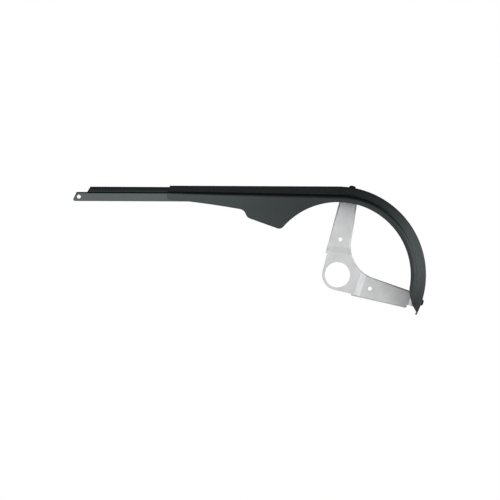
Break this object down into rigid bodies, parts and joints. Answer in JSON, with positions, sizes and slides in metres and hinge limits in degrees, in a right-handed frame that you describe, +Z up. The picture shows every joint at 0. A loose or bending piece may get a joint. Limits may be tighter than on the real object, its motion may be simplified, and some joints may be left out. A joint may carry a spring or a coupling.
{
  "type": "bicycle chain guard",
  "caption": "Dark moulded chain guard: an arc over the chainring, a straight tail with a rear extension that slides in it, and a folded metal bracket for the bottom bracket cup.",
  "frame": {"origin": "on the bottom bracket axis, at the bracket's seat face against the bicycle frame", "axes": "+X to the front of the bicycle along the guard's straight tail, -Y to the outside of the bicycle along the bottom bracket axis, +Z up"},
  "size_m": [0.4887, 0.0358, 0.1791],
  "materials": {
    "guard_plastic": "satin dark grey moulding",
    "extension_plastic": "satin dark grey moulding",
    "bracket_steel": "satin zinc plating",
    "screw_black": "black oxide",
    "nut_steel": "zinc plating"
  },
  "bodies": {
    "guard": {"guard_shell": "guard_plastic", "bottom_bracket_bracket": "bracket_steel", "upper_screw": "screw_black", "upper_nut": "nut_steel", "front_screw": "screw_black", "front_nut": "nut_steel"},
    "extension": {"rear_extension": "extension_plastic"}
  },
  "joints": [
    {"name": "extension_slide", "type": "slide", "parent": "guard", "child": "extension", "axis": [-1, 0, 0], "range_m": [-0.04, 0.045]}
  ]
}
